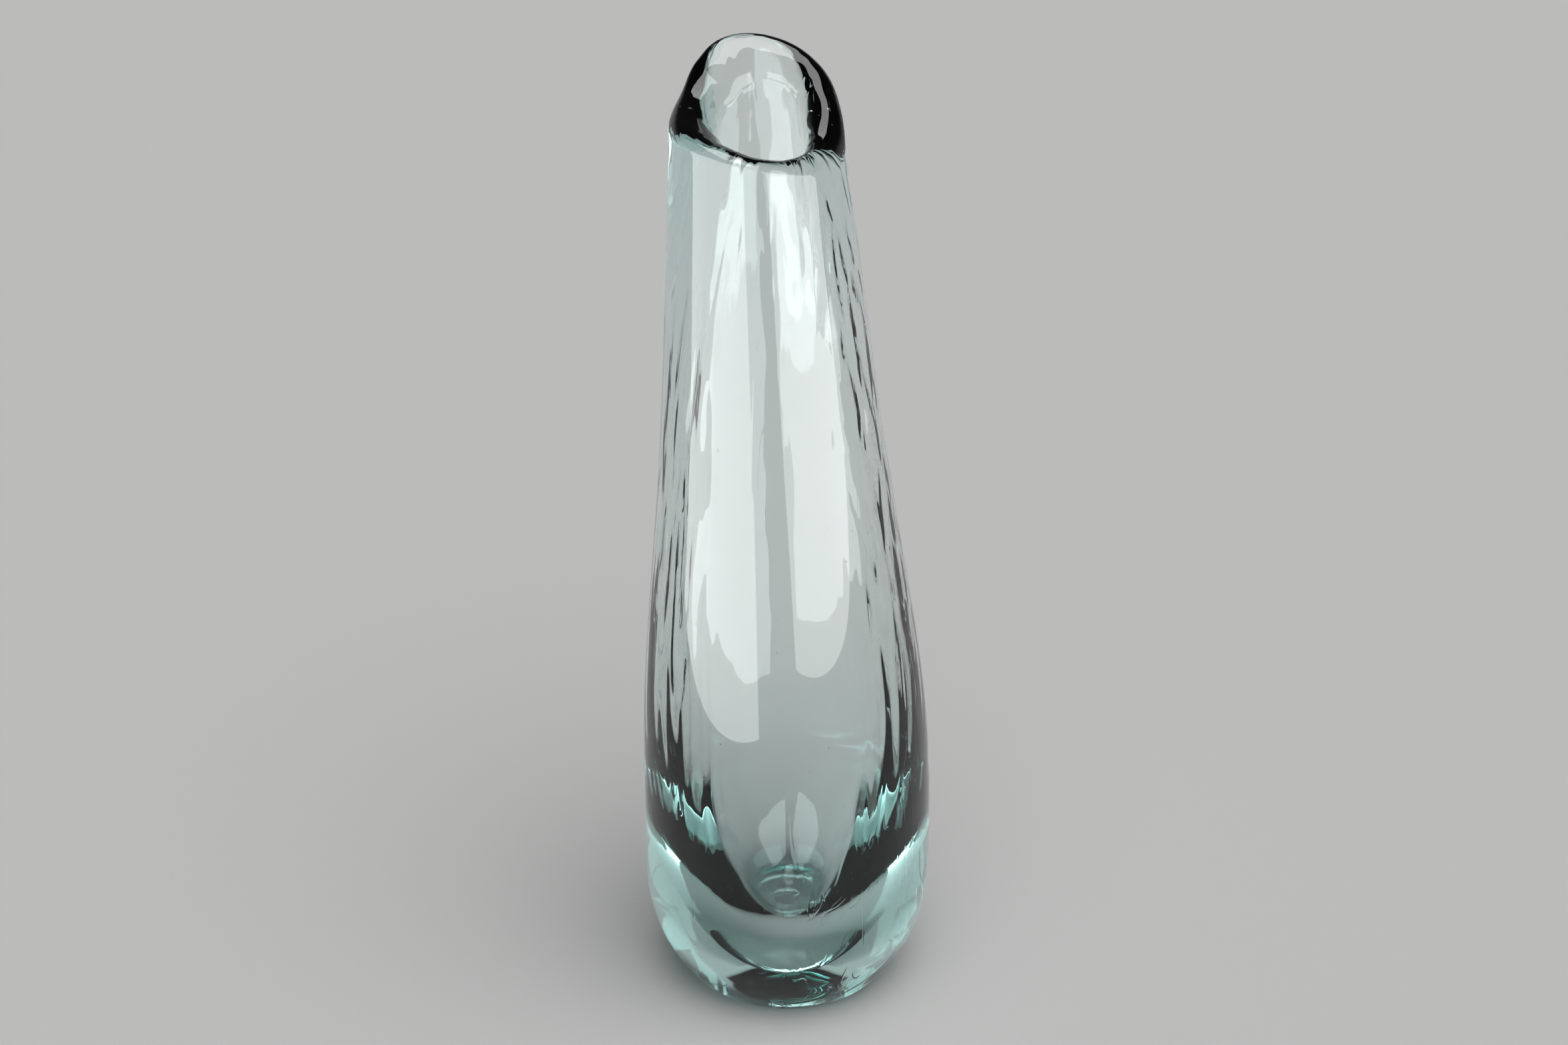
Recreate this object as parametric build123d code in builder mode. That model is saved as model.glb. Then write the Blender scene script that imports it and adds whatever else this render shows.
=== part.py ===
"""A tall free-blown vase of pale aqua glass, in one piece, in millimetres.

The centre of the ground foot is the origin, +Z is up, and +Y is the side where the lip rises.
"""

import os
from math import cos, radians, sin, sqrt, tan

from build123d import *

# Outside of the body, from the foot up
foot_diameter = 76
heel_diameter = 101
belly_diameter = 110
shoulder_diameter = 87.5
neck_diameter = 69.5
lip_diameter = 61.5
heel_rise = 20
bowl_rise = 64
shoulder_rise = 141
neck_rise = 95
collar_rise = 56

# Lean of the neck, which drooped to one side while the glass was soft
lean_angle = 2.6
bend_length = 50

# Thickness of the glass, which is thinnest at the shoulder
base_thickness = 13
belly_wall = 9.8
shoulder_wall = 5.5
neck_wall = 10.5

# Thickness of the lip at its sides, back and front
side_lip_wall = 15.5
back_lip_wall = 12.5
front_lip_wall = 9

# Round floor of the cavity, how far up its curve goes, and how far above the belly it is widest
floor_radius = 30
floor_angle = 38
cavity_rise = 48

# Scooped cut of the lip: its rises are measured from the sides, a margin outside the glass
shear_margin = 4
front_rise = 1
flank_rise = 20
back_rise = 23
shear_turn = 18
shear_tilt = 11
lip_round = 3.5

# Ground foot with the polished hollow where the pontil was
foot_bevel = 1.2
pontil_diameter = 30
pontil_depth = 0.8

# How far the cutting shapes run past the glass
overrun = 18

# Slopes of the outline where it leaves the foot and where it ends at the lip
heel_slope_share = 0.95
lip_slope_share = -0.05

# Slopes of the lip's cut at its front and back ends, and how far back its steep flank ends
front_slope_share = -0.3
back_slope_share = 0.2
flank_share = 0.7

# Number of steps in which the side of the wall is drawn
wall_sections = 8

belly_height = bowl_rise
shoulder_height = belly_height + shoulder_rise
neck_height = shoulder_height + neck_rise
side_height = neck_height + collar_rise
top_height = side_height + back_rise + overrun
top_radius = lip_diameter / 2 + lip_slope_share * (top_height - side_height)

cavity_radius = belly_diameter / 2 - belly_wall
cavity_height = belly_height + cavity_rise


def drift_at(height, upright_height):
    """How far a centre line has drifted sideways, above the level where it stops being upright."""
    above = height - upright_height
    return -tan(radians(lean_angle)) * (sqrt(above**2 + bend_length**2) - bend_length)


def closing_at(height):
    """How far the cavity has closed in from the shoulder, where it is round, to the oval mouth."""
    climbed = (height - shoulder_height) / (side_height - shoulder_height)
    return min(max(climbed, 0), 1) ** 2


# The side of the body above the belly, as radius and height
with BuildLine(Plane.XZ) as side_line:
    Spline(
        (belly_diameter / 2, belly_height),
        (shoulder_diameter / 2, shoulder_height),
        (neck_diameter / 2, neck_height),
        (lip_diameter / 2, side_height),
        (top_radius, top_height),
        tangents=((0, 1), (lip_slope_share, 1)),
    )

# The side of the cavity above its widest level
with BuildLine(Plane.XZ) as cavity_line:
    Spline(
        (cavity_radius, cavity_height),
        (shoulder_diameter / 2 - shoulder_wall, shoulder_height),
        (neck_diameter / 2 - neck_wall, neck_height),
        (lip_diameter / 2 - side_lip_wall, side_height),
        (top_radius - side_lip_wall, top_height),
        tangents=((0, 1), (lip_slope_share, 1)),
    )

with BuildPart() as vase_body:
    # The bowl is round about an upright axis, from the foot to the widest level
    with BuildSketch(Plane.XZ):
        with BuildLine():
            heel = Spline(
                (foot_diameter / 2, 0),
                (heel_diameter / 2, heel_rise),
                (belly_diameter / 2, belly_height),
                tangents=((heel_slope_share, 1), (0, 1)),
            )
            Polyline(heel @ 1, (0, belly_height), (0, 0), heel @ 0)
        make_face()
    revolve(axis=Axis.Z)

    # The side above it is drawn through circles on the leaning centre line
    for step in range(wall_sections + 1):
        point = side_line.edge() @ (step / wall_sections)
        with BuildSketch(Plane.XY.offset(point.Z)):
            with Locations((drift_at(point.Z, belly_height), 0)):
                Circle(point.X)
    loft()

    # The cavity has a round floor, and its flank leads smoothly from there up to the wall
    with BuildSketch(Plane.XZ):
        with BuildLine():
            floor_arc = CenterArc(
                (0, base_thickness + floor_radius),
                floor_radius,
                start_angle=270,
                arc_size=floor_angle,
            )
            flank = Spline(
                floor_arc @ 1,
                (cavity_radius, cavity_height),
                tangents=(floor_arc % 1, (0, 1)),
            )
            Polyline(flank @ 1, (0, cavity_height), floor_arc @ 0)
        make_face()
    revolve(axis=Axis.Z, mode=Mode.SUBTRACT)

    # Above its widest level the cavity is drawn through ovals, which grow deeper than they are wide
    for step in range(wall_sections + 1):
        point = cavity_line.edge() @ (step / wall_sections)
        back = point.X + (side_lip_wall - back_lip_wall) * closing_at(point.Z)
        front = point.X + (side_lip_wall - front_lip_wall) * closing_at(point.Z)
        with BuildSketch(Plane.XY.offset(point.Z)):
            with Locations((drift_at(point.Z, cavity_height), (back - front) / 2)):
                Ellipse((back + front) / 2, point.X, rotation=90)
    loft(mode=Mode.SUBTRACT)

    # The shears left the lip high at the back and low in front, a little turned and tilted
    shear_plane = Plane(
        origin=(drift_at(side_height, belly_height), 0, side_height),
        x_dir=(sin(radians(shear_turn)), cos(radians(shear_turn)), 0),
        z_dir=(
            cos(radians(shear_turn)) * cos(radians(shear_tilt)),
            -sin(radians(shear_turn)) * cos(radians(shear_tilt)),
            -sin(radians(shear_tilt)),
        ),
    )
    with BuildSketch(shear_plane):
        with BuildLine():
            reach = lip_diameter / 2 + shear_margin
            scoop = Spline(
                (-reach, front_rise),
                (0, 0),
                (reach * flank_share, flank_rise),
                (reach, back_rise),
                tangents=((1, front_slope_share), (1, back_slope_share)),
            )
            front_end = scoop @ 0 - (scoop % 0) * overrun
            back_end = scoop @ 1 + (scoop % 1) * overrun
            Polyline(
                scoop @ 1,
                back_end,
                (back_end.X, back_end.Y + back_rise + overrun),
                (front_end.X, back_end.Y + back_rise + overrun),
                front_end,
                scoop @ 0,
            )
        make_face()
    extrude(amount=lip_diameter, both=True, mode=Mode.SUBTRACT)
    cut_face = vase_body.faces().sort_by(Axis.Z)[-1]

    # The fire that polished the lip rounded both its edges
    fillet(cut_face.edges(), radius=lip_round)

    # The foot is ground flat, its edge is bevelled, and its middle is hollowed
    foot_face = vase_body.faces().sort_by(Axis.Z)[0]
    chamfer(foot_face.edges(), length=foot_bevel)
    with BuildSketch(Plane.XZ):
        with BuildLine():
            hollow = TangentArc((0, pontil_depth), (pontil_diameter / 2, 0), tangent=(1, 0))
            Polyline(hollow @ 1, (pontil_diameter / 2, -overrun), (0, -overrun), hollow @ 0)
        make_face()
    revolve(axis=Axis.Z, mode=Mode.SUBTRACT)

vase_body.part.label = "vase_body"

os.makedirs("parts", exist_ok=True)
export_step(vase_body.part, "parts/vase_body.step")

box = vase_body.part.bounding_box()
print("size", box.size, "lowest", box.min.Z, "highest", box.max.Z)
print("glass volume in cubic centimetres", vase_body.part.volume / 1000)
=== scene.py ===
from math import cos, pi, radians, sin, tan

import bpy
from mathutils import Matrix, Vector
from mathutils.geometry import interpolate_bezier


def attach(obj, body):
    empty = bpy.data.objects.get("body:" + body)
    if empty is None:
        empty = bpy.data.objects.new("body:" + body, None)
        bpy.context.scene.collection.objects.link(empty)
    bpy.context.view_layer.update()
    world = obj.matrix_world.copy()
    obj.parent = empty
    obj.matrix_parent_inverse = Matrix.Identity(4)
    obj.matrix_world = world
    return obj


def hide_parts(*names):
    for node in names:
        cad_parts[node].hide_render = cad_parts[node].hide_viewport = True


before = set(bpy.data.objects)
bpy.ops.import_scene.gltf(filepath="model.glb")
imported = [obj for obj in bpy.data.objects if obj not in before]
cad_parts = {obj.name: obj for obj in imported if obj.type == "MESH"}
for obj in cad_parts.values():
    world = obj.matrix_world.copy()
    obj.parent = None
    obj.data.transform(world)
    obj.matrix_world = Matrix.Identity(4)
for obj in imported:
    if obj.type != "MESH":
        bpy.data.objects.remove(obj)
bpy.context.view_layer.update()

# The vase body is one gather of pale aqua glass, blown free-hand, with a thick solid base.
# Its lip was sheared at a slant while soft, high at the back, then rounded by the fire.
# The foot is ground flat, and its middle is polished hollow where the pontil came off.
foot_radius = 0.038
foot_bevel = 0.0012
bevel_handle = 0.0004
pontil_radius = 0.015
pontil_depth = 0.0008
belly_height = 0.064
cavity_height = 0.112
lip_height = 0.356
lip_slope = -0.060
crown_height = 0.0062

# Radius, height and slope of the outside, at its bevel and at the places that give it its form
outline = (
    (foot_radius + 0.0009, 0.00095, 0.90),
    (0.0505, 0.020, 0.39),
    (0.05485, belly_height, 0.0),
    (0.0521, 0.134, -0.095),
    (0.0438, 0.205, -0.112),
    (0.03475, 0.300, -0.082),
    (0.0310, lip_height - crown_height, -0.057),
)

# Half width of the cavity at its sides, height and slope, from its widest level up to the lip
cavity_side = (
    (0.0452, cavity_height, 0.0),
    (0.0383, 0.205, -0.125),
    (0.0243, 0.300, -0.205),
    (0.0172, 0.340, -0.150),
    (0.0155, lip_height - crown_height, lip_slope),
)

# Round floor of the cavity, how far up its curve goes, and how full the flank above it is
base_thickness = 0.013
floor_radius = 0.030
floor_angle = radians(38)
flank_handle = 0.028

# How many rows of faces each stretch of the section has, and how many go round the vase
pontil_rows = 8
ring_rows = 4
bevel_rows = 5
outer_rows = 72
fewest_outer_rows = 8
crown_rows = 20
inner_rows = 150
fewest_inner_rows = 6
flank_rows = 33
floor_rows = 12
around = 320


def wall_points(low, high, rows, fewest):
    """Points of the wall from one place up to the next, with this stretch's share of all rows."""
    third = (high[1] - low[1]) / 3
    return interpolate_bezier(
        Vector((low[0], 0, low[1])),
        Vector((low[0] + low[2] * third, 0, low[1] + third)),
        Vector((high[0] - high[2] * third, 0, high[1] - third)),
        Vector((high[0], 0, high[1])),
        max(fewest, round(rows * (high[1] - low[1]) / lip_height)) + 1,
    )


# The section starts in the middle of the foot, with the polished hollow and the ground ring
section = []
hollow_sphere = (pontil_radius**2 + pontil_depth**2) / (2 * pontil_depth)
for step in range(pontil_rows + 1):
    radius = pontil_radius * step / pontil_rows
    rise = (hollow_sphere**2 - radius**2) ** 0.5 - (hollow_sphere - pontil_depth)
    section.append(Vector((radius, 0, rise)))
ring_radius = foot_radius - foot_bevel
for step in range(1, ring_rows + 1):
    radius = pontil_radius + (ring_radius - pontil_radius) * step / ring_rows
    section.append(Vector((radius, 0, 0)))
section += interpolate_bezier(
    Vector((ring_radius, 0, 0)),
    Vector((foot_radius - foot_bevel / 3, 0, 0)),
    Vector((foot_radius + bevel_handle, 0, bevel_handle)),
    Vector((outline[0][0], 0, outline[0][1])),
    bevel_rows + 1,
)[1:]

# It goes up the outside and over the crown of the lip
for low, high in zip(outline, outline[1:]):
    section += wall_points(low, high, outer_rows, fewest_outer_rows)[1:]
crown_outside = section[-1]
crown_inside = Vector((cavity_side[-1][0], 0, cavity_side[-1][1]))
for step in range(1, crown_rows):
    turn = pi * step / crown_rows
    across = crown_outside.lerp(crown_inside, (1 - cos(turn)) / 2)
    section.append(across + Vector((0, 0, crown_height * sin(turn))))
crown_end = len(section)

# It comes down the inside, and ends in the middle of the cavity's floor
section.append(crown_inside)
for high, low in zip(reversed(cavity_side), reversed(cavity_side[:-1])):
    section += reversed(wall_points(low, high, inner_rows, fewest_inner_rows)[:-1])
floor_middle = base_thickness + floor_radius
floor_edge = Vector((floor_radius * sin(floor_angle), 0, floor_middle - floor_radius * cos(floor_angle)))
flank_top = section[-1]
section += interpolate_bezier(
    flank_top,
    flank_top - Vector((0, 0, flank_handle)),
    floor_edge + Vector((cos(floor_angle), 0, sin(floor_angle))) * flank_handle,
    floor_edge,
    flank_rows + 1,
)[1:]
for step in range(1, floor_rows + 1):
    turn = floor_angle * (1 - step / floor_rows)
    section.append(Vector((floor_radius * sin(turn), 0, floor_middle - floor_radius * cos(turn))))

# Each point of the section carries five shares. The first two say how far it moves with the cut
# of the lip, and how its radius follows. The third says how far through the glass it lies, from the
# outside to the inside, and the fourth how far the cavity has closed in there from round to oval.
# The last says how far it lies under the top of the crown
stretch_height = 0.190
thin_height = 0.205
section_mesh = bpy.data.meshes.new("vase_section")
section_mesh.from_pydata(section, [(i, i + 1) for i in range(len(section) - 1)], [])
share_names = ("stretch", "slope", "inside", "closed", "under")
for name in share_names:
    section_mesh.attributes.new(name, "FLOAT", "POINT")
shares = {name: section_mesh.attributes[name].data for name in share_names}
for index, point in enumerate(section):
    climbed = min(max((point.z - stretch_height) / (lip_height - stretch_height), 0), 1)
    through = (1 - cos(pi * min(max((index - crown_end + crown_rows) / crown_rows, 0), 1))) / 2
    closing = min(max((point.z - thin_height) / (lip_height - thin_height), 0), 1) ** 2
    below = min((lip_height - point.z) / crown_height, 1)
    shares["stretch"][index].value = climbed * climbed * (3 - 2 * climbed)
    shares["slope"][index].value = lip_slope * climbed
    shares["inside"][index].value = through
    shares["closed"][index].value = through * closing
    shares["under"][index].value = below * climbed**4


def place(tree, kind, inputs, **options):
    """A new node in a tree, with its options set and each input given a value or joined to a socket."""
    made = tree.nodes.new(kind)
    for name, value in options.items():
        setattr(made, name, value)
    for name, value in inputs.items():
        if isinstance(value, bpy.types.NodeSocket):
            tree.links.new(value, made.inputs[name])
        else:
            made.inputs[name].default_value = value
    return made


def work_out(tree, operation, *values):
    """The result of one sum on values and sockets."""
    return place(tree, "ShaderNodeMath", dict(enumerate(values)), operation=operation).outputs[0]


def ease(tree, value, low, high, least, most):
    """A value mapped from one range to another, with soft ends."""
    return place(
        tree,
        "ShaderNodeMapRange",
        {"Value": value, "From Min": low, "From Max": high, "To Min": least, "To Max": most},
        interpolation_type="SMOOTHSTEP",
    ).outputs["Result"]


# The glass is blown from the section by one tree, whose inputs are its sizes
sizes = {
    "Around": around,
    "Rows": len(section),
    "Belly height": belly_height,
    "Cavity height": cavity_height,
    "Lip radius": outline[-1][0],
    "Bore radius": cavity_side[-1][0],
    "Bore extra depth": 0.0048,
    "Bore shift": 0.0018,
    "Squeeze": 0.16,
    "Squeeze bottom": 0.045,
    "Squeeze top": 0.130,
    "Lean": tan(radians(2.6)),
    "Bend length": 0.050,
    "Crown height": crown_height,
    "Shear turn": radians(18),
    "Shear tilt": radians(11),
    "Shear reach": 0.03475,
    "Shear rise": 0.0226,
    "Wave depth": 0.0009,
    "Fold depth": 0.0024,
    "Skin depth": 0.00006,
    "Fold seed": 2.0,
    "Seed density": 900.0,
    "Seed radius": 0.00020,
}
blowing = bpy.data.node_groups.new("Blown and sheared glass", "GeometryNodeTree")
blowing.is_modifier = True
blowing.interface.new_socket("Section", in_out="INPUT", socket_type="NodeSocketGeometry")
blowing.interface.new_socket("Glass", in_out="OUTPUT", socket_type="NodeSocketGeometry")
for name, value in sizes.items():
    kind = "NodeSocketInt" if isinstance(value, int) else "NodeSocketFloat"
    blowing.interface.new_socket(name, in_out="INPUT", socket_type=kind)
blowing.interface.new_socket("Material", in_out="INPUT", socket_type="NodeSocketMaterial")
given = blowing.nodes.new("NodeGroupInput").outputs


def sum_of(operation, *values):
    """One sum in the tree that blows the glass."""
    return work_out(blowing, operation, *values)


# Each column of the grid is the section once more, turned about the centre line
columns = sum_of("ADD", given["Around"], 1)
grid = place(
    blowing,
    "GeometryNodeMeshGrid",
    {"Size X": 1.0, "Size Y": 1.0, "Vertices X": columns, "Vertices Y": given["Rows"]},
)
index = place(blowing, "GeometryNodeInputIndex", {}).outputs["Index"]
row = sum_of("MODULO", index, given["Rows"])
column = sum_of("FLOOR", sum_of("DIVIDE", index, given["Rows"]))
angle = sum_of("MULTIPLY", sum_of("DIVIDE", column, given["Around"]), 2 * pi)


def attribute(name):
    """A share kept on the points of the mesh that is worked on."""
    return place(
        blowing, "GeometryNodeInputNamedAttribute", {"Name": name}, data_type="FLOAT"
    ).outputs["Attribute"]


def from_section(value, data_type):
    """A value of the section's points, read for the row of each point of the grid."""
    return place(
        blowing,
        "GeometryNodeSampleIndex",
        {"Geometry": given["Section"], "Value": value, "Index": row},
        data_type=data_type,
        domain="POINT",
    ).outputs["Value"]


section_place = place(blowing, "GeometryNodeInputPosition", {}).outputs["Position"]
drawn = place(
    blowing, "ShaderNodeSeparateXYZ", {"Vector": from_section(section_place, "FLOAT_VECTOR")}
).outputs
stretch = from_section(attribute("stretch"), "FLOAT")
slope = from_section(attribute("slope"), "FLOAT")
through = from_section(attribute("inside"), "FLOAT")
closing = from_section(attribute("closed"), "FLOAT")
below = from_section(attribute("under"), "FLOAT")

# The shears cut the lip along one curve from front to back, and a tilt to one side.
# The curve's places are shares of the way across the lip and of the full rise
shear_curve = ((0.0, 0.04), (0.25, -0.09), (0.5, 0.0), (0.7, 0.53), (0.85, 0.87), (1.0, 1.0))
bore_less_lip = sum_of("SUBTRACT", given["Bore radius"], given["Lip radius"])
cut_radius = sum_of("MULTIPLY_ADD", through, bore_less_lip, given["Lip radius"])
turned = sum_of("ADD", angle, given["Shear turn"])
back = sum_of("DIVIDE", sum_of("MULTIPLY", cut_radius, sum_of("SINE", turned)), given["Shear reach"])
scoop = place(blowing, "ShaderNodeFloatCurve", {"Value": sum_of("MULTIPLY_ADD", back, 0.5, 0.5)})
cut = scoop.mapping.curves[0]
cut.points[0].location = shear_curve[0]
cut.points[-1].location = shear_curve[-1]
for location in shear_curve[1:-1]:
    cut.points.new(*location)
scoop.mapping.use_clip = False
scoop.mapping.update()
scooped = sum_of("MULTIPLY", scoop.outputs["Value"], given["Shear rise"])
sideways = sum_of("MULTIPLY", cut_radius, sum_of("COSINE", turned))
tilted = sum_of("MULTIPLY", sideways, sum_of("SINE", given["Shear tilt"]))
cut_height = sum_of("DIVIDE", sum_of("SUBTRACT", scooped, tilted), sum_of("COSINE", given["Shear tilt"]))
lifted = sum_of("MULTIPLY", cut_height, stretch)

# The fire rounded the crown into half a circle, so it rises more where the lip is thick.
# The mouth is oval: deeper than wide, and set towards the front
sine = sum_of("SINE", angle)
oval = sum_of("MULTIPLY", given["Bore extra depth"], sum_of("MULTIPLY", sine, sine))
bore_here = sum_of("SUBTRACT", oval, sum_of("MULTIPLY", given["Bore shift"], sine))
thick = sum_of("SUBTRACT", sum_of("SUBTRACT", given["Lip radius"], given["Bore radius"]), bore_here)
rounder = sum_of("MULTIPLY_ADD", thick, -0.5, given["Crown height"])
crown_drop = sum_of("MULTIPLY", rounder, below)
height = sum_of("ADD", sum_of("ADD", drawn["Z"], lifted), crown_drop)
radius = sum_of("MULTIPLY_ADD", lifted, slope, drawn["X"])
depth_radius = sum_of("MULTIPLY_ADD", closing, given["Bore extra depth"], radius)

# Low down the bubble is a little narrower from side to side than from front to back
low_down = ease(blowing, height, given["Squeeze bottom"], given["Squeeze top"], given["Squeeze"], 0.0)
side_radius = sum_of("MULTIPLY", radius, sum_of("SUBTRACT", 1.0, sum_of("MULTIPLY", through, low_down)))


def droop_from(start):
    """How far the leaning centre line has drifted sideways above the level where it starts."""
    above = sum_of("MAXIMUM", sum_of("SUBTRACT", height, start), 0.0)
    bend = given["Bend length"]
    swung = sum_of("SQRT", sum_of("MULTIPLY_ADD", above, above, sum_of("MULTIPLY", bend, bend)))
    return sum_of("MULTIPLY", sum_of("SUBTRACT", bend, swung), given["Lean"])


# Above the belly the neck drooped to one side while it was soft, and the cavity a little less
outer_droop = droop_from(given["Belly height"])
inner_droop = droop_from(given["Cavity height"])
droop = sum_of("MULTIPLY_ADD", through, sum_of("SUBTRACT", inner_droop, outer_droop), outer_droop)
forward = sum_of("MULTIPLY", given["Bore shift"], closing)
spun = place(
    blowing,
    "ShaderNodeCombineXYZ",
    {
        "X": sum_of("MULTIPLY_ADD", side_radius, sum_of("COSINE", angle), droop),
        "Y": sum_of("SUBTRACT", sum_of("MULTIPLY", depth_radius, sum_of("SINE", angle)), forward),
        "Z": height,
    },
)
shaped = place(
    blowing,
    "GeometryNodeSetPosition",
    {"Geometry": grid.outputs["Mesh"], "Position": spun.outputs["Vector"]},
)
marked = place(
    blowing,
    "GeometryNodeStoreNamedAttribute",
    {"Geometry": shaped.outputs["Geometry"], "Name": "inside", "Value": through},
    data_type="FLOAT",
    domain="POINT",
)
seam_gap = 0.000005
closed = place(
    blowing,
    "GeometryNodeMergeByDistance",
    {"Geometry": marked.outputs["Geometry"], "Distance": seam_gap},
)

# The inner surface cooled free of any tool, so it is wavy all over and calmer in the bowl
calm_bottom = 0.04
calm_top = 0.15
bowl_calm = 0.3
here = place(blowing, "GeometryNodeInputPosition", {}).outputs["Position"]
level = place(blowing, "ShaderNodeSeparateXYZ", {"Vector": here}).outputs["Z"]
facing = place(blowing, "GeometryNodeInputNormal", {}).outputs["Normal"]


def folds_of(length_share, scale, detail, swirl):
    """Soft folds between -0.5 and 0.5, from noise drawn out along the height of the vase."""
    drawn_out = place(
        blowing,
        "ShaderNodeVectorMath",
        {0: here, 1: (1.0, 1.0, length_share)},
        operation="MULTIPLY",
    )
    noise = place(
        blowing,
        "ShaderNodeTexNoise",
        {
            "Vector": drawn_out.outputs["Vector"],
            "W": given["Fold seed"],
            "Scale": scale,
            "Detail": detail,
            "Distortion": swirl,
        },
        noise_dimensions="4D",
    )
    return sum_of("SUBTRACT", noise.outputs["Fac"], 0.5)


calmer = ease(blowing, level, calm_bottom, calm_top, bowl_calm, 1.0)
wave_depth = sum_of("MULTIPLY", calmer, given["Wave depth"])
soft_waves = folds_of(length_share=0.15, scale=40.0, detail=2.0, swirl=0.0)
waves = sum_of("MULTIPLY", soft_waves, wave_depth)

# As the neck drew in, the wall gathered in long upright folds, which are deepest at the sides.
# In front they are shallow, and a little deeper again in the throat
fold_bottom = 0.03
fold_top = 0.14
throat_bottom = 0.26
throat_top = 0.345
front_share = 0.15
throat_share = 0.5
front_facing = 0.35
side_facing = 0.85
facing_across = place(blowing, "ShaderNodeSeparateXYZ", {"Vector": facing}).outputs["X"]
in_front = ease(blowing, level, throat_bottom, throat_top, front_share, throat_share)
at_the_sides = ease(blowing, sum_of("ABSOLUTE", facing_across), front_facing, side_facing, in_front, 1.0)
gathered = ease(blowing, level, fold_bottom, fold_top, 0.0, 1.0)
fold_depth = sum_of("MULTIPLY", sum_of("MULTIPLY", gathered, given["Fold depth"]), at_the_sides)
long_folds = folds_of(length_share=0.08, scale=140.0, detail=1.0, swirl=0.6)
inner_waves = sum_of("MULTIPLY_ADD", long_folds, fold_depth, waves)

# The outside was smoothed by the wooden block, and is nearly even. The ground foot is flat
foot_flat_top = 0.002
skin_start = 0.020
above_foot = ease(blowing, level, foot_flat_top, skin_start, 0.0, 1.0)
skin_waves = folds_of(length_share=0.5, scale=30.0, detail=1.0, swirl=0.0)
outer_waves = sum_of("MULTIPLY", skin_waves, sum_of("MULTIPLY", above_foot, given["Skin depth"]))
depth = sum_of("MULTIPLY_ADD", inner_waves, attribute("inside"), outer_waves)
wave = place(blowing, "ShaderNodeVectorMath", {0: facing, "Scale": depth}, operation="SCALE")
waved = place(
    blowing,
    "GeometryNodeSetPosition",
    {"Geometry": closed.outputs["Geometry"], "Offset": wave.outputs["Vector"]},
)
smooth = place(
    blowing,
    "GeometryNodeSetShadeSmooth",
    {"Geometry": waved.outputs["Geometry"], "Shade Smooth": True},
)

# Seed bubbles were drawn long as the glass was blown, and lie inside the wall, under its outside
outside_share = 0.01
deepest_seed = -0.0028
highest_seed = -0.0012
smallest_seed = (0.4, 0.4, 0.6)
largest_seed = (1.3, 1.3, 3.0)
bubble_places = place(
    blowing,
    "GeometryNodeDistributePointsOnFaces",
    {
        "Mesh": smooth.outputs["Geometry"],
        "Selection": sum_of("LESS_THAN", attribute("inside"), outside_share),
        "Density": given["Seed density"],
        "Seed": 7,
    },
    distribute_method="RANDOM",
)
sunk = place(
    blowing,
    "FunctionNodeRandomValue",
    {"Min": deepest_seed, "Max": highest_seed, "Seed": 3},
    data_type="FLOAT",
)
sunk_in = place(
    blowing,
    "ShaderNodeVectorMath",
    {0: bubble_places.outputs["Normal"], "Scale": sunk.outputs[1]},
    operation="SCALE",
)
in_the_wall = place(
    blowing,
    "GeometryNodeSetPosition",
    {"Geometry": bubble_places.outputs["Points"], "Offset": sunk_in.outputs["Vector"]},
)
bubble = place(blowing, "GeometryNodeMeshIcoSphere", {"Radius": given["Seed radius"], "Subdivisions": 2})
bubble_skin = place(blowing, "GeometryNodeFlipFaces", {"Mesh": bubble.outputs["Mesh"]})
bubble_size = place(
    blowing,
    "FunctionNodeRandomValue",
    {0: smallest_seed, 1: largest_seed, "Seed": 11},
    data_type="FLOAT_VECTOR",
)
bubbles = place(
    blowing,
    "GeometryNodeInstanceOnPoints",
    {
        "Points": in_the_wall.outputs["Geometry"],
        "Instance": bubble_skin.outputs["Mesh"],
        "Scale": bubble_size.outputs[0],
    },
)
bubble_meshes = place(blowing, "GeometryNodeRealizeInstances", {"Geometry": bubbles.outputs["Instances"]})
bubbles_smooth = place(
    blowing,
    "GeometryNodeSetShadeSmooth",
    {"Geometry": bubble_meshes.outputs["Geometry"], "Shade Smooth": True},
)
together = place(blowing, "GeometryNodeJoinGeometry", {})
blowing.links.new(smooth.outputs["Geometry"], together.inputs["Geometry"])
blowing.links.new(bubbles_smooth.outputs["Geometry"], together.inputs["Geometry"])
whole = place(blowing, "GeometryNodeRealizeInstances", {"Geometry": together.outputs["Geometry"]})
finished = place(
    blowing,
    "GeometryNodeSetMaterial",
    {"Geometry": whole.outputs["Geometry"], "Material": given["Material"]},
)
place(blowing, "NodeGroupOutput", {"Glass": finished.outputs["Geometry"]})

# The glass is clear, and its aqua colour deepens with the way that light goes through it
aqua_glass = bpy.data.materials.new("pale_aqua_glass")
aqua_glass.use_nodes = True
glass_nodes = aqua_glass.node_tree
glass = glass_nodes.nodes["Principled BSDF"]
glass.inputs["Base Color"].default_value = (0.97, 1.0, 0.995, 1)
glass.inputs["IOR"].default_value = 1.5
glass.inputs["Transmission Weight"].default_value = 1.0
depth_colour = place(
    glass_nodes,
    "ShaderNodeVolumeAbsorption",
    {"Color": (0.10, 0.63, 0.59, 1), "Density": 6.4},
).outputs["Volume"]
glass_nodes.links.new(depth_colour, glass_nodes.nodes["Material Output"].inputs["Volume"])
glass_place = place(glass_nodes, "ShaderNodeTexCoord", {}).outputs["Object"]
glass_level = place(glass_nodes, "ShaderNodeSeparateXYZ", {"Vector": glass_place}).outputs["Z"]


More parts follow.
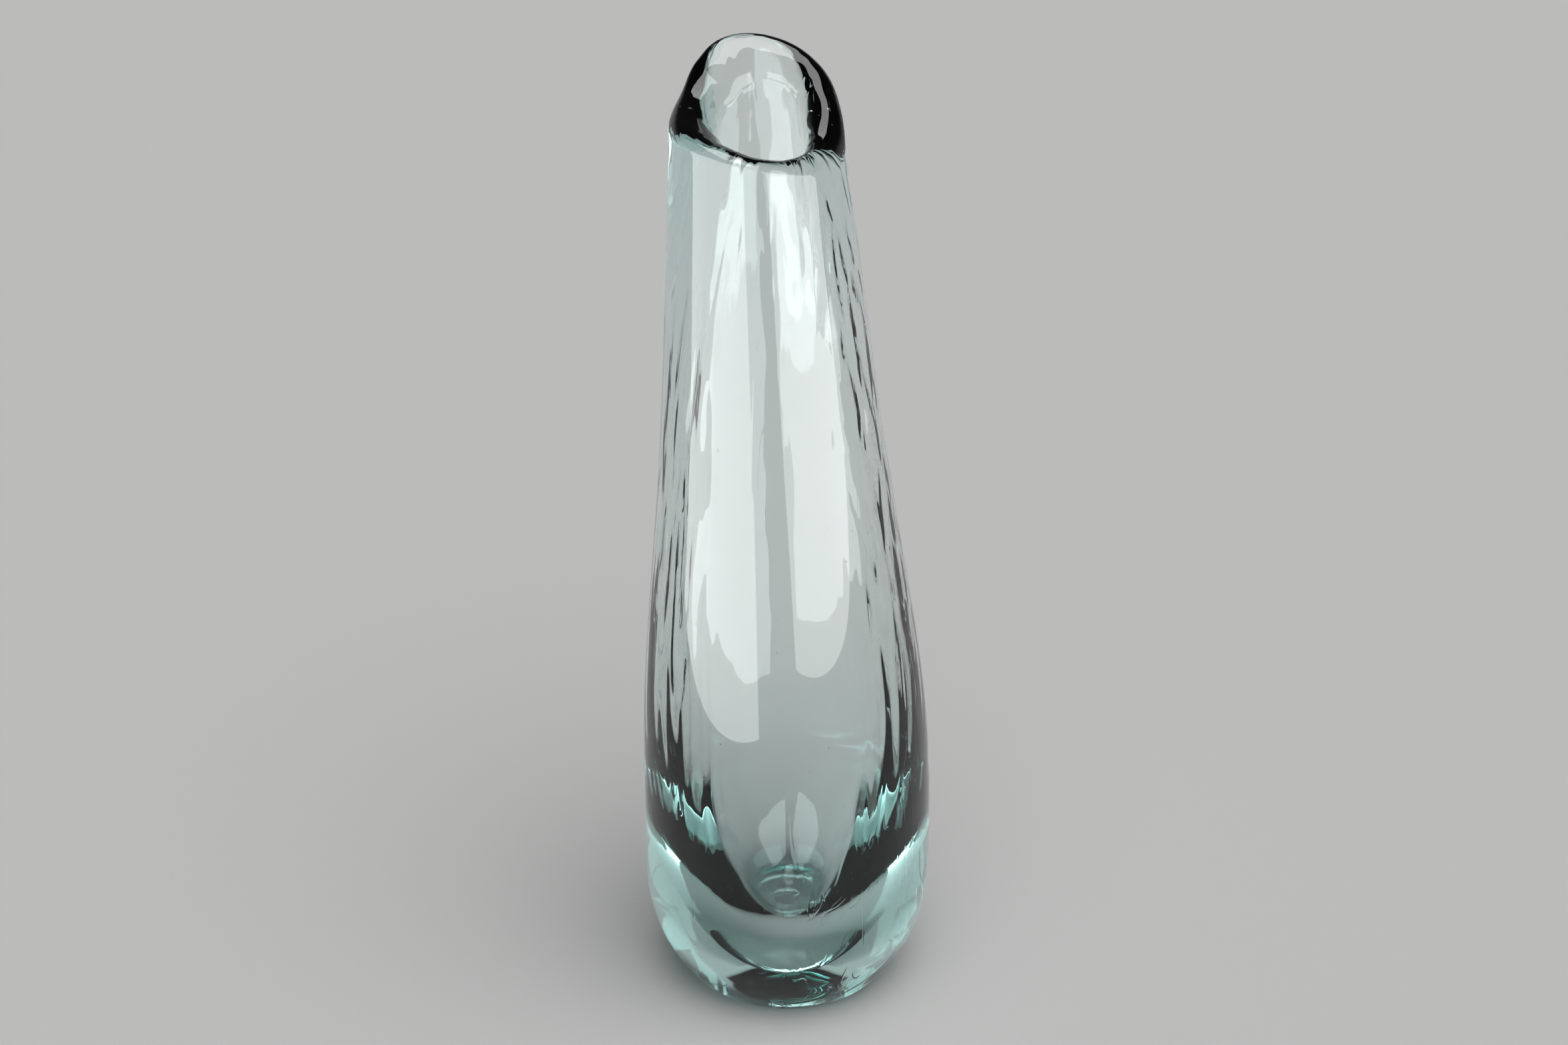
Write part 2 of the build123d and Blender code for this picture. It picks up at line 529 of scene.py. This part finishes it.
def drawn_noise(length_share, scale, detail, swirl):
    """Noise in the glass between 0 and 1, drawn out along the height of the vase."""
    drawn_out = place(
        glass_nodes,
        "ShaderNodeVectorMath",
        {0: glass_place, 1: (1.0, 1.0, length_share)},
        operation="MULTIPLY",
    )
    noise = place(
        glass_nodes,
        "ShaderNodeTexNoise",
        {"Vector": drawn_out.outputs["Vector"], "Scale": scale, "Detail": detail, "Distortion": swirl},
    )
    return noise.outputs["Fac"]


# The foot is ground matt, unevenly, up to the start of its bevel
ring_top = 0.00003
bevel_start = 0.00015
grain_low = 0.3
grain_high = 0.7
least_matt = 0.06
most_matt = 0.20
ground = ease(glass_nodes, glass_level, ring_top, bevel_start, 1.0, 0.0)
grain = drawn_noise(length_share=1.0, scale=900.0, detail=3.0, swirl=0.0)
grain = ease(glass_nodes, grain, grain_low, grain_high, least_matt, most_matt)

# The lowest few millimetres above it are scuffed in spots
scuff_bottom = 0.0015
scuff_top = 0.0050
scuff_least_noise = 0.60
scuff_full_noise = 0.72
scuff_matt = 0.18
scuffs = drawn_noise(length_share=1.0, scale=420.0, detail=4.0, swirl=0.0)
scuffs = ease(glass_nodes, scuffs, scuff_least_noise, scuff_full_noise, 0.0, scuff_matt)
near_foot = ease(glass_nodes, glass_level, scuff_bottom, scuff_top, 1.0, 0.0)
scuffed = work_out(glass_nodes, "MULTIPLY", scuffs, near_foot)
matt = work_out(glass_nodes, "MULTIPLY_ADD", ground, grain, scuffed)
glass_nodes.links.new(matt, glass.inputs["Roughness"])

# Fine cords, where glass of another heat was drawn in, stand out from the skin by a hair in patches
cord_height = 0.00003
cord_width = 0.030
patch_least_noise = 0.46
patch_full_noise = 0.62
cord_noise = drawn_noise(length_share=0.05, scale=110.0, detail=0.0, swirl=0.5)
from_cord = work_out(glass_nodes, "ABSOLUTE", work_out(glass_nodes, "SUBTRACT", cord_noise, 0.5))
cords = ease(glass_nodes, from_cord, 0.0, cord_width, 1.0, 0.0)
patches = drawn_noise(length_share=0.5, scale=16.0, detail=1.0, swirl=0.0)
patches = ease(glass_nodes, patches, patch_least_noise, patch_full_noise, 0.0, 1.0)
relief = place(
    glass_nodes,
    "ShaderNodeBump",
    {
        "Height": work_out(glass_nodes, "MULTIPLY", cords, patches),
        "Strength": 1.0,
        "Distance": cord_height,
    },
).outputs["Normal"]
glass_nodes.links.new(relief, glass.inputs["Normal"])

# The tree runs once on the section. Its result becomes the vase, less an empty material slot
blank = bpy.data.objects.new("vase_blank", section_mesh)
bpy.context.scene.collection.objects.link(blank)
shaping = blank.modifiers.new("Blowing", "NODES")
shaping.node_group = blowing
settings = {**sizes, "Material": aqua_glass}
for socket in blowing.interface.items_tree:
    if socket.in_out == "INPUT" and socket.name in settings:
        shaping[socket.identifier] = settings[socket.name]
blank.update_tag()
graph = bpy.context.evaluated_depsgraph_get()
vase_mesh = bpy.data.meshes.new_from_object(blank.evaluated_get(graph), depsgraph=graph)
vase_mesh.name = "vase"
vase_mesh.materials.pop(index=0)
blank.modifiers.remove(shaping)
bpy.data.objects.remove(blank)
vase = bpy.data.objects.new("vase", vase_mesh)
bpy.context.scene.collection.objects.link(vase)
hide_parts("vase_body")
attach(vase, "root")

# The floor is one wide sheet of plain pale paper
floor_size = 16.0
floor_gap = 0.0002
half = floor_size / 2
paper_mesh = bpy.data.meshes.new("paper")
paper_corners = [(-half, -half), (half, -half), (half, half), (-half, half)]
paper_mesh.from_pydata([(x, y, -floor_gap) for x, y in paper_corners], [], [(0, 1, 2, 3)])
paper_floor = bpy.data.objects.new("paper", paper_mesh)
bpy.context.scene.collection.objects.link(paper_floor)
paper = bpy.data.materials.new("pale_paper")
paper.use_nodes = True
paper_surface = paper.node_tree.nodes["Principled BSDF"].inputs
paper_surface["Base Color"].default_value = (0.52, 0.52, 0.515, 1)
paper_surface["Roughness"].default_value = 0.9
paper_surface["Specular IOR Level"].default_value = 0.0
paper_mesh.materials.append(paper)

# The room's walls are as pale as the paper, and darken towards the ceiling
wall_colour = (0.51, 0.51, 0.505, 1)
ceiling_colour = (0.05, 0.05, 0.05, 1)
walls_end = 0.10
ceiling_starts = 0.45
world = bpy.data.worlds.new("room")
bpy.context.scene.world = world
world.use_nodes = True
room = world.node_tree
sky = place(room, "ShaderNodeTexCoord", {}).outputs["Generated"]
sky_rise = place(room, "ShaderNodeSeparateXYZ", {"Vector": sky}).outputs["Z"]
wall_to_ceiling = ease(room, sky_rise, walls_end, ceiling_starts, 0.0, 1.0)
walls = place(
    room,
    "ShaderNodeMix",
    {"Factor": wall_to_ceiling, 6: wall_colour, 7: ceiling_colour},
    data_type="RGBA",
).outputs[2]
room.links.new(walls, room.nodes["Background"].inputs["Color"])

# The room's own light comes evenly from a wide window high up
room_brightness = 0.91
daylight = bpy.data.lights.new("room_light", "SUN")
daylight.energy = room_brightness * pi
daylight.angle = radians(60)
room_light = bpy.data.objects.new("room_light", daylight)
bpy.context.scene.collection.objects.link(room_light)
room_light.rotation_euler = Vector((0.17, -0.27, 1.0)).to_track_quat("Z", "Y").to_euler()
room_light.visible_glossy = False
room_light.visible_transmission = False


def soft_panel(name, width, height, middle, faces, brightness):
    """A cloth panel that shines only in the glass's reflections, where a brightness of 1 is white."""
    lamp = bpy.data.lights.new(name, "AREA")
    lamp.shape = "RECTANGLE"
    lamp.size = width
    lamp.size_y = height
    lamp.energy = brightness * pi * width * height
    panel = bpy.data.objects.new(name, lamp)
    bpy.context.scene.collection.objects.link(panel)
    panel.location = middle
    panel.rotation_euler = (Vector(faces) - Vector(middle)).to_track_quat("-Z", "Y").to_euler()
    panel.visible_camera = False
    panel.visible_diffuse = False
    lamp.use_nodes = True
    mirrored = place(lamp.node_tree, "ShaderNodeLightPath", {}).outputs["Glossy Depth"]
    seen = work_out(lamp.node_tree, "MINIMUM", mirrored, 1.0)
    lamp.node_tree.links.new(seen, lamp.node_tree.nodes["Emission"].inputs["Strength"])


# Cloth panels stand round the vase, as in a small light tent
side_brightness = 4.0
top_brightness = 5.0
soft_panel("left_panel", 0.45, 0.38, (-0.271, -0.169, 0.202), (0, 0.137, 0.202), side_brightness)
soft_panel("right_panel", 0.71, 0.50, (0.417, -0.318, 0.271), (0.19, 0.127, 0.271), side_brightness)
soft_panel("top_panel", 0.34, 0.67, (-0.08, -0.085, 0.82), (-0.08, -0.085, 0), top_brightness)

# The camera looks down at the vase from in front, as in the photograph
camera_pitch = radians(29.48)
camera_data = bpy.data.cameras.new("camera")
camera_data.sensor_width = 36
camera_data.lens = 86.4
camera = bpy.data.objects.new("camera", camera_data)
bpy.context.scene.collection.objects.link(camera)
camera.location = (-0.0013, -1.2124, 0.880)
camera.rotation_euler = (pi / 2 - camera_pitch, 0, 0)
bpy.context.scene.camera = camera
bpy.context.scene.view_settings.view_transform = "Standard"
